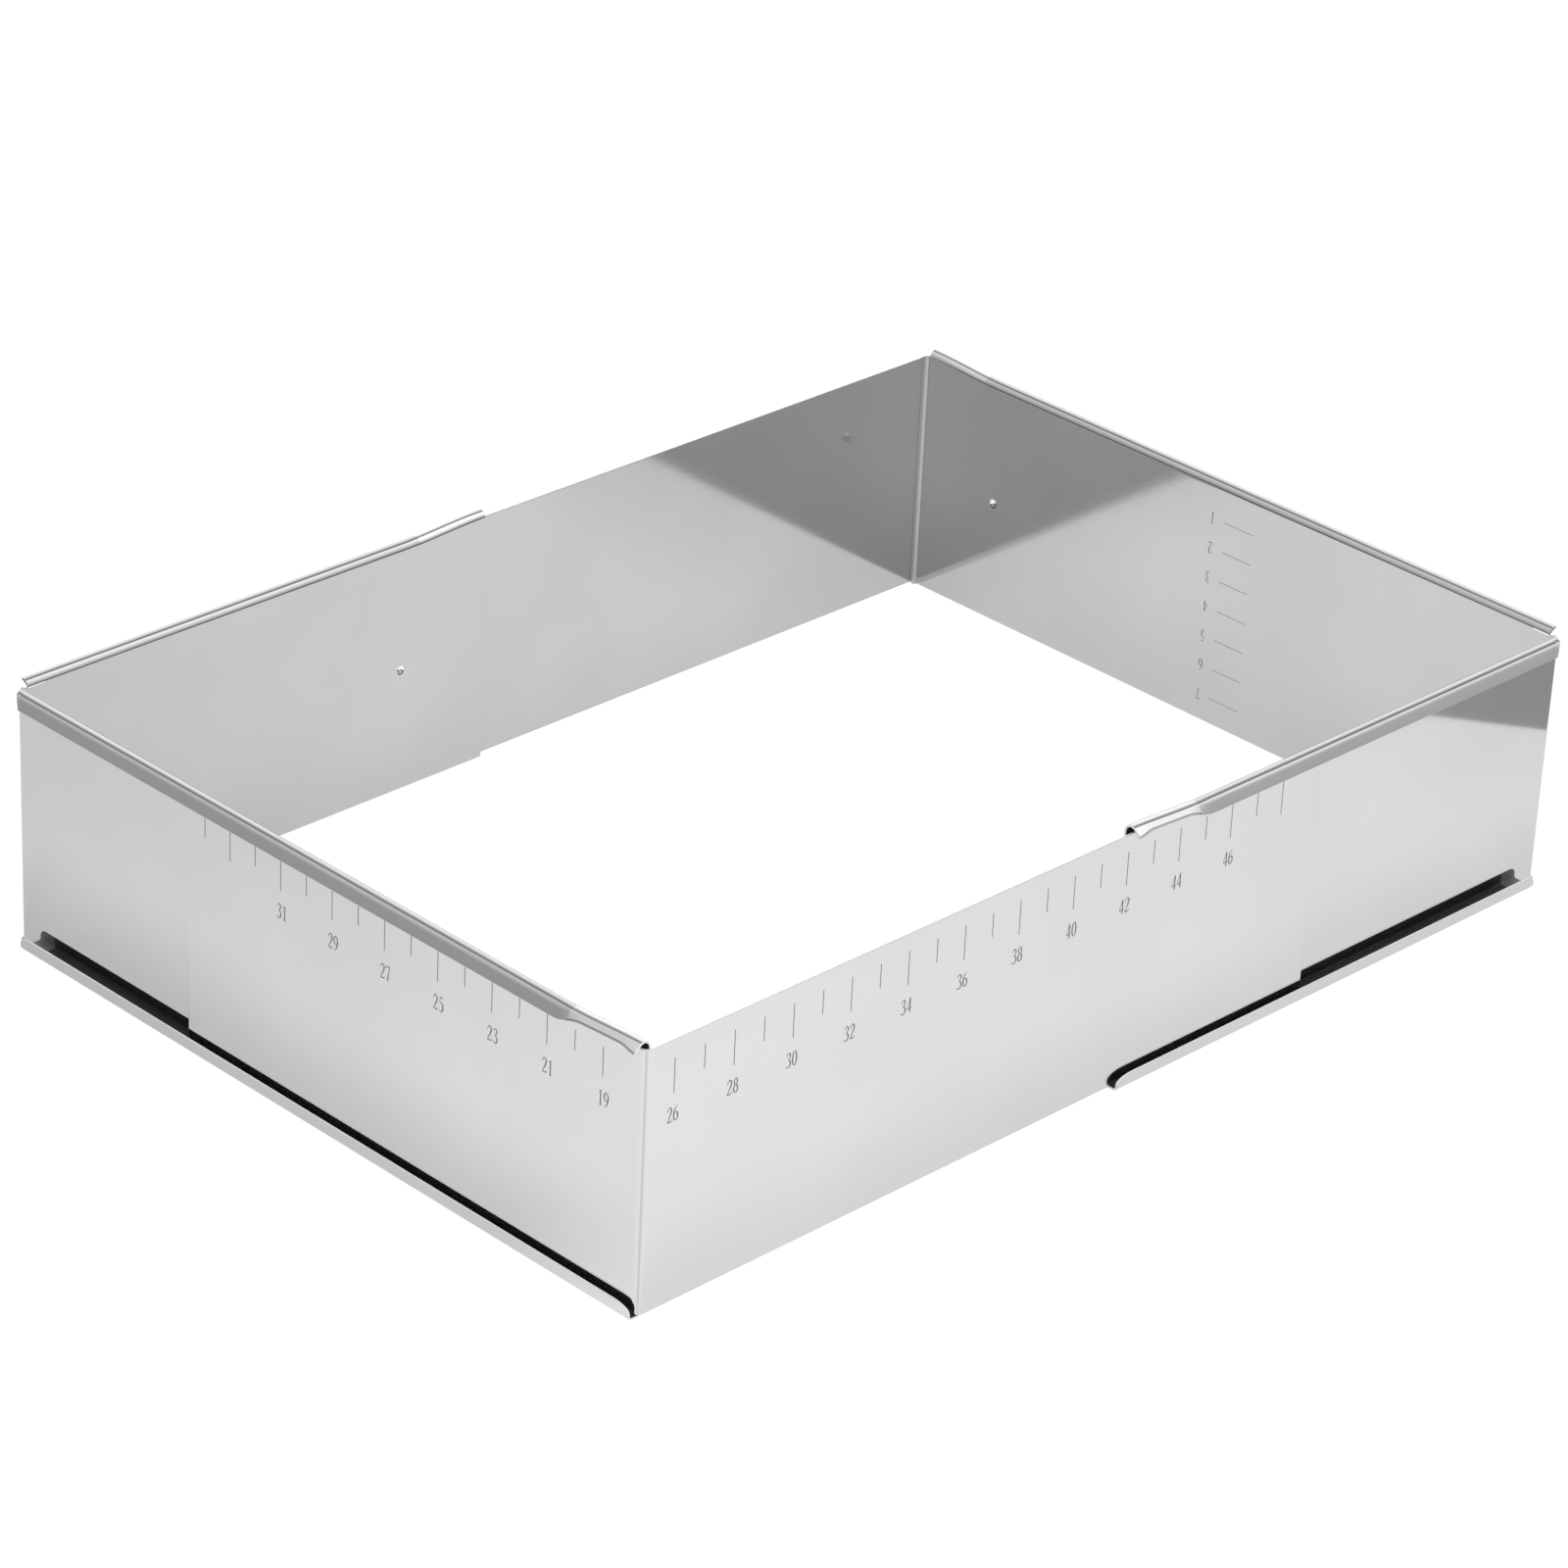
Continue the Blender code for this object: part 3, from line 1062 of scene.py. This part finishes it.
    def turned_in(self, t: float) -> float:
        """Shift of the short arm's section at its free end, which is turned inwards."""
        run = max(self.turn_radius - t, 0.0)
        return self.turn_radius - math.sqrt(self.turn_radius ** 2 - run * run)

    def fold(self, centre: float, start: float) -> Section:
        """Quarter turn of the lip about a centre, outwards from the wall, from an angle on."""
        return [(centre + self.lip_fold * math.cos(start - math.pi / 2 * step / FOLD_STEPS),
                 self.fold_level
                 + self.lip_fold * math.sin(start - math.pi / 2 * step / FOLD_STEPS))
                for step in range(FOLD_STEPS + 1)]

    def wall(self, t: float | None) -> Section:
        """Points up the wall between its two folds.

        Args:
            t: Distance from the arm's free end, or None at the corner.

        Returns:
            A guard point near each fold, a row of points across the bump and, at the corner,
            the top.
        """
        guard = self.stock.edge_guard
        levels = [self.fold_level + guard]
        levels += [self.bump_level + self.bump_radius * step / BUMP_STEPS for step in BUMP_ROWS]
        if t is None:
            top = self.hook_top - self.corner_drop
            levels += [top - guard * 2, top - guard, top]
            return [(self.stock.middle, level) for level in levels]
        levels += [self.dull_top, self.spring(t) - guard]
        return [(self.stock.middle + self.bulge(t, level), level) for level in levels]

    def hook(self, t: float, cut: float) -> Section:
        """Curl of the hook and the straight edge past it.

        Args:
            t: Distance from the arm's free end.
            cut: Length that is cut off the hook's free edge.

        Returns:
            The sheet's middle from the top of the wall to the hook's free edge.
        """
        lean = self.at_mouth(t, self.hook_angle, self.mouth_angle, self.flare_angle)
        reach = self.at_mouth(t, self.hook_edge, self.mouth_edge, self.flare_edge)
        radius, out, up = self.hook_radius, self.stock.middle + self.hook_radius, self.spring(t)
        sweep = (math.pi - lean) * radius
        runs = [sweep * step / CURL_STEPS for step in range(CURL_STEPS + 1)]
        runs += [sweep + reach - past
                 for past in (self.mouth_rim, self.stock.edge_guard / 2, 0.0)]
        points = []
        for run in runs:
            run *= 1 - cut / (sweep + reach)
            angle = math.pi - min(run, sweep) / radius
            past = max(run - sweep, 0.0)
            points.append((out + radius * math.cos(angle) + past * math.sin(lean),
                           up + radius * math.sin(angle) - past * math.cos(lean)))
        return points

    def section(self, t: float | None, to_corner: float) -> Section:
        """Section from the lip's free edge round to the hook's free edge.

        Args:
            t: Distance from the arm's free end, or None at the corner.
            to_corner: Distance from the sheet's corner.

        Returns:
            The sheet's middle, with None for the rows that the corner lacks.
        """
        foot = self.fold(self.lip_middle - self.lip_fold, 0)
        rest = self.fold(self.stock.middle + self.lip_fold, -math.pi / 2) + self.wall(t)
        if t is None:
            return [None] * (2 + len(foot)) + rest + [None] * (CURL_STEPS + 3)
        rounded = quarter_round(max(to_corner - self.lip_relief, 0.0) / self.lip_round)
        root = self.fold_level + self.lip_root_share * (self.lip_height - self.fold_level)
        edge = root + (self.lip_height - root) * min(quarter_round(t / self.lip_corner), rounded)
        least = max(edge - self.stock.edge_guard / 2, self.fold_level + self.lip_least)
        lip = [(self.lip_middle, edge), (self.lip_middle, least), *foot]
        if to_corner < self.lip_relief - 1e-6:
            lip = [None] * len(lip)
        grown = min((to_corner - self.corner_relief) / self.corner_slant, 1.0)
        hook = self.hook(t, self.corner_cut * (1 - grown))
        # Only the short arm's free end is turned in, and its hook is left out there
        if not math.isclose(t + to_corner, self.short_arm) or t >= self.turn_radius:
            return lip + rest + hook
        turned = self.turned_in(t)
        return [point and (point[0] - turned, point[1])
                for point in lip + rest + hook[:1] + [None] * (len(hook) - 1)]

    def skin(self, row: int, t: float, to_corner: float, level: float) -> Skin:
        """Skin of a face.

        Args:
            row: Strip of the section, from the lip to the hook.
            t: Distance from the arm's free end.
            to_corner: Distance from the sheet's corner.
            level: Height of the face.

        Returns:
            The skin.
        """
        heel_row, heel_rows = FOLD_STEPS + 2, FOLD_STEPS + 1
        wall_row = heel_row + heel_rows
        hook_row = wall_row + len(self.wall(None))
        if wall_row <= row < hook_row:
            # The turned end's inside takes a darker polish: painted shade
            if t < self.turn_radius:
                return Skin.TURN
            # The outside of a wall's free end: pale below the slot's top, painted light, and dark
            # above, painted shade
            if t < self.flare_length:
                return Skin.WALL_END if level < self.dull_top else Skin.HEEL
            # The bump's hollow takes the brighter outer polish: a painted highlight
            return Skin.DENT if self.bulge(t, level) > self.bump_polish else Skin.WALL
        if row >= hook_row:
            # Near the corner the hook's underside is pale: painted light falling into the hook
            if to_corner < self.open_to:
                return Skin.WALL if to_corner < self.corner_relief else Skin.END
            if row < hook_row + 2:
                return Skin.HEEL
            # At the mouth the hook's outside is painted brighter, a painted highlight, and the
            # strip along its free edge darker, a painted shadow line
            if t > self.mouth_length + self.mouth_blend / 2:
                return Skin.FLANGE
            return Skin.HEEL if row > hook_row + CURL_STEPS else Skin.MOUTH
        height = min(max((row - heel_row + 0.5) / heel_rows, 0.0), 1.0)
        rounding = self.slot_round * (1 - math.sqrt(1 - height * height))
        if to_corner < self.corner_relief + rounding:
            return Skin.WALL
        if to_corner < self.shade_to:
            return Skin.SHADE
        return Skin.HEEL if row >= heel_row else Skin.FLANGE

    def stations(self, arm: float) -> list[float]:
        """Distances from an arm's free end at which the section is drawn.

        Args:
            arm: Length of the arm.

        Returns:
            The distances, from the free end on.
        """
        round_shares = (0.0, 0.045, 0.1, 0.17, 0.26, 0.38, 0.54, 0.76, 1.0)
        places = [self.lip_corner * share for share in round_shares]
        for start, run, steps in ((0.0, self.flare_length, 12),
                                  (self.flare_length, self.mouth_length - self.flare_length, 6),
                                  (self.mouth_length, self.mouth_blend, 14)):
            places += [start + run * step / steps for step in range(steps + 1)]
        places += [self.bump_from_end + self.bump_radius * step / BUMP_STEPS
                   for step in BUMP_ROWS]
        turn = [self.turn_radius * (1 - math.sin(math.pi / 2 * step / 12))
                for step in range(12, -1, -1) if self.turn_radius]
        places = [place for place in spaced(places, self.free_step)
                  if not turn or place > self.turn_radius + self.corner_step]
        stop = arm - self.corner_relief
        ends = [arm - self.shade_to, arm - self.open_to]
        ends += [stop - self.corner_slant * step / 8 for step in range(9)]
        ends += [arm - self.lip_relief - self.lip_round * share for share in round_shares]
        return turn + places + spaced(ends, self.corner_step)

    def rules(self) -> list[bpy.types.Object]:
        """Engrave the height rule on the short arm's inner face, whose numbers hang down.

        Returns:
            The ticks and the numbers.
        """
        start = (-self.stock.thickness, self.height_at, 0)
        ticks = self.ticks.ticks(
            f"{self.corner.value}_height_ticks",
            {"Count": self.height_count, "First": self.height_first, "Pitch": self.height_pitch,
             "Even Length": self.height_tick, "Odd Length": self.height_tick,
             "Width": self.tick_width, "Sunk": self.engraver.sunk,
             "Proud": self.engraver.proud}, face_place(self.place, start, (0, 0, 1), (0, 1, 0)))
        written = face_place(self.place, start, (0, 1, 0), (0, 0, -1))
        numbers = [(self.height_count - index,
                    (self.height_number_step, -self.height_first - index * self.height_pitch),
                    written) for index in range(self.height_count)]
        return [ticks, self.engraver.piece(f"{self.corner.value}_height_numbers", numbers,
                                           self.finishes.of(self.finishes.etching))]


@dataclass(frozen=True)
class ViewPoint:
    """Camera of the photograph: its place, its own right and up, and its lens."""

    location: Place = (-1.0151211, -0.9888595, 0.7877469)
    right: Place = (0.71510735, -0.69770866, 0.04270947)
    up: Place = (0.2996924, 0.36121827, 0.88300953)
    sensor: float = 36.0
    lens: float = 135.166

    def build(self) -> None:
        """Add the camera and make it the scene's."""
        data = bpy.data.cameras.new("photo_view")
        set_up(data, sensor_width=self.sensor, lens=self.lens, clip_start=0.05, clip_end=60.0)
        camera = link(bpy.data.objects.new("photo_view", data))
        right, up = Vector(self.right).normalized(), Vector(self.up).normalized()
        turn = Matrix((right, up, right.cross(up))).transposed().to_4x4()
        camera.matrix_world = Matrix.Translation(self.location) @ turn
        bpy.context.scene.camera = camera


@dataclass(frozen=True)
class PaperFloor:
    """White paper floor: even white as a lens sees it, with painted light and shade as polished
    metal sees it.

    For metal it carries painted shade close to the ring's walls and around its front corner, and
    painted light and shade within the ring. A run gives the positions at which a brightness starts
    and ends to change, and its levels before and after.
    """

    # Half the floor's side, its depth, and the share of its white that takes shadows
    half_size: float = 6.0
    depth: float = 0.00005
    plain: float = 0.14
    plain_light: float = 0.35
    bounce: float = 0.8
    # The paper's border: its distance from the origin, the direction square to it, half its
    # blur, and the brightness on both sides
    border_at: float = 0.3037
    border_way: Place = (0.823, -0.568, 0.0)
    border_blur: float = 0.0006
    outside: float = 0.84
    beyond: float = 0.24
    # Half the ring's inner length and width, and its front corner
    ring: Point = (0.1718, 0.1214)
    front: Point = (-0.1737, -0.1233)
    # Left of the ring: painted shade growing along Y, painted shade close to the wall, and how far
    # that reaches
    left_side: Run = (-0.16, 0.26, 1.03, 0.73)
    left_foot: Run = (-0.13, -0.06, 0.98, 0.74)
    left_reach: Point = (0.0, 0.045)
    # Right of the ring: painted light and shade along X, painted shade close to the wall, and
    # painted shade towards the far end
    right_side: Run = (-0.20, 0.24, 1.06, 0.93)
    right_foot: Run = (0.0, 0.04, 0.86, 1.0)
    right_end: Run = (0.17, 0.30, 1.0, 0.88)
    # Painted shade around the direction in which the front corner points
    front_way: Place = (-0.7, -0.7141, 0)
    front_shade: Run = (0.92, 0.99, 1.0, 0.76)
    # Painted light and shade within the ring: towards its right end, its back, its left end and its
    # near side
    inside_right: Run = (0.10, 0.175, 1.19, 1.071)
    inside_back: Run = (0.08, 0.125, 1.0, 0.93)
    inside_left: Run = (-0.17, 0.05, 0.89, 1.03)
    inside_near: Run = (-0.14, 0.0, 0.90, 1.0)

    def seen(self, graph: Graph, place: object) -> bpy.types.NodeSocket:
        """Brightness of the paper as metal sees it.

        Args:
            graph: Node tree of the material.
            place: Socket of the place on the floor.

        Returns:
            The brightness's socket.
        """
        x, y = graph.along(place, (1, 0, 0)), graph.along(place, (0, 1, 0))
        wide, deep = graph.calc("ABSOLUTE", x), graph.calc("ABSOLUTE", y)
        off = graph.calc("MAXIMUM", graph.calc("ADD", wide, self.front[0]),
                         graph.calc("ADD", deep, self.front[1]))
        foot = graph.ramp(off, *self.left_reach, graph.ramp(y, *self.left_foot), 1.0)
        left = graph.product(graph.ramp(y, *self.left_side), foot)
        right = graph.product(graph.ramp(x, *self.right_side), graph.ramp(off, *self.right_foot),
                              graph.ramp(x, *self.right_end))
        around = graph.mix(graph.calc("LESS_THAN", x, self.front[0]), right, left)
        border = graph.ramp(graph.along(place, self.border_way),
                            self.border_at - self.border_blur, self.border_at + self.border_blur,
                            self.outside, self.beyond)
        away = graph.add("ShaderNodeVectorMath", {0: place, 1: (*self.front, 0.0)},
                         operation="SUBTRACT")
        way = graph.add("ShaderNodeVectorMath", {0: away}, operation="NORMALIZE")
        around = graph.product(around, border,
                               graph.ramp(graph.along(way, self.front_way), *self.front_shade))
        within = graph.product(graph.ramp(x, *self.inside_right), graph.ramp(y, *self.inside_back),
                               graph.ramp(x, *self.inside_left), graph.ramp(y, *self.inside_near))
        reach = graph.calc("MAXIMUM", graph.calc("DIVIDE", wide, self.ring[0]),
                           graph.calc("DIVIDE", deep, self.ring[1]))
        return graph.mix(graph.calc("LESS_THAN", reach, 1.0), around, within)

    def material(self) -> bpy.types.Material:
        """Build the paper's material.

        Returns:
            The new material.
        """
        material = bpy.data.materials.new("floor_paper")
        material.use_nodes = True
        graph = Graph(material.node_tree)
        graph.nodes.remove(graph.nodes["Principled BSDF"])
        rays = graph.nodes.new("ShaderNodeLightPath").outputs
        seen = self.seen(graph, graph.add("ShaderNodeTexCoord", output="Object"))
        level = graph.mix(rays["Is Camera Ray"], seen, 1.0 - self.plain * self.plain_light)
        glow = graph.add("ShaderNodeEmission", {"Strength": level})
        shadowed = graph.add("ShaderNodeBsdfDiffuse", {"Color": grey(self.plain)})
        lit = graph.add("ShaderNodeAddShader", {0: glow, 1: shadowed})
        matte = graph.add("ShaderNodeBsdfDiffuse", {"Color": grey(self.bounce)})
        direct = graph.calc("MAXIMUM", rays["Is Camera Ray"], rays["Is Glossy Ray"])
        graph.feed(graph.nodes["Material Output"].inputs["Surface"],
                   graph.add("ShaderNodeMixShader", {0: direct, 1: matte, 2: lit}))
        return material

    def build(self) -> None:
        """Lay the floor."""
        plane = bmesh.new()
        bmesh.ops.create_grid(plane, x_segments=1, y_segments=1, size=self.half_size)
        floor = piece_from("floor", plane, [self.material()])
        floor.data.transform(Matrix.Translation((0, 0, -self.depth)))


@dataclass(frozen=True)
class StudioSky:
    """Soft white room, with the panels that the rolled edges mirror."""

    # Light on matte surfaces from the room
    ambient: float = 0.66
    # Brightness, on the right and on the left, of the walls near the horizon and of the large
    # panels above them, with the rise and the sideways turn over which each pair changes
    wall: Point = (0.47, 0.37)
    panel: Point = (1.15, 0.70)
    rise: Point = (0.05, 0.85)
    sideways: Point = (0.0, 0.6)
    # Brightness of the dark strip overhead, and of the backdrop near that strip and low down,
    # with the turns towards the back over which one gives way to the next
    gap: float = 0.27
    sweep: Point = (0.62, 1.10)
    to_gap: Point = (0.26, 0.36)
    to_backdrop: Point = (0.55, 0.65)
    backdrop_run: Point = (0.60, 0.98)

    def build(self) -> None:
        """Build the world and make it the scene's."""
        world = bpy.data.worlds.new("studio")
        world.use_nodes = True
        graph = Graph(world.node_tree)
        way = graph.add("ShaderNodeTexCoord", output="Generated")
        rays = graph.nodes.new("ShaderNodeLightPath").outputs
        left = graph.ramp(graph.along(way, (-0.7071, 0.7071, 0)), *self.sideways, 0.0, 1.0)
        panels = graph.ramp(graph.along(way, (0, 0, 1)), *self.rise, graph.mix(left, *self.wall),
                            graph.mix(left, *self.panel))
        back = graph.along(way, (0.7071, 0.7071, 0))
        backdrop = graph.ramp(back, *self.backdrop_run, *self.sweep)
        mirrored = graph.ramp(back, *self.to_gap, panels,
                              graph.ramp(back, *self.to_backdrop, self.gap, backdrop))
        matte = graph.mix(rays["Is Glossy Ray"], self.ambient, mirrored)
        room = graph.nodes["Background"].inputs
        room["Color"].default_value = grey(1.0)
        graph.feed(room["Strength"], graph.mix(rays["Is Camera Ray"], matte, 1.0))
        bpy.context.scene.world = world


@dataclass(frozen=True)
class SoftLamp:
    """Large soft lamp, which metal doesn't mirror: its place, its side and its power."""

    name: str
    location: Place
    size: float
    power: float
    target: Place = (0, 0, 0.04)

    def build(self) -> None:
        """Add the lamp, aimed at the object."""
        data = bpy.data.lights.new(self.name, "AREA")
        set_up(data, shape="SQUARE", size=self.size, energy=self.power)
        aim = Vector(self.target) - Vector(self.location)
        set_up(link(bpy.data.objects.new(self.name, data)), location=self.location,
               rotation_euler=aim.to_track_quat("-Z", "Y").to_euler(), visible_glossy=False,
               visible_camera=False)


def main() -> None:
    """Build the four corners and the studio, and log each piece."""
    logging.basicConfig(level=logging.INFO, format="%(name)s: %(message)s")
    bpy.context.scene.view_settings.view_transform = "Standard"
    ring, finishes = RingSetting(), Finishes()
    scale_stock, channel_stock = SheetStock(bend_radius=0.0021, edge_round=0.00018), SheetStock()
    ticks = TickTree("rule_ticks", finishes.of(finishes.etching))
    faint_ticks = TickTree("height_ticks", finishes.of(finishes.faint))
    corners: list[FoldedCorner] = [
        ScaleCorner(Corner.FRONT, scale_stock, ring, finishes, ticks),
        ScaleCorner(Corner.BACK, scale_stock, ring, finishes, ticks),
        ChannelCorner(Corner.RIGHT, channel_stock, ring, finishes, faint_ticks, long_arm=0.176,
                      turn_radius=0.0015),
        ChannelCorner(Corner.LEFT, channel_stock, ring, finishes, faint_ticks, long_arm=0.165),
    ]
    for corner in corners:
        for piece in corner.build():
            LOG.info("%s: %d faces", piece.name, len(piece.data.polygons))
    for tree in (ticks.tree, faint_ticks.tree):
        bpy.data.node_groups.remove(tree)
    PaperFloor().build()
    StudioSky().build()
    SoftLamp("key", (-0.9, -1.3, 1.9), 1.4, 16.0).build()
    SoftLamp("fill", (1.3, 0.6, 1.6), 1.6, 8.0).build()
    ViewPoint().build()
    bpy.context.view_layer.update()


if __name__ == "__main__":
    main()
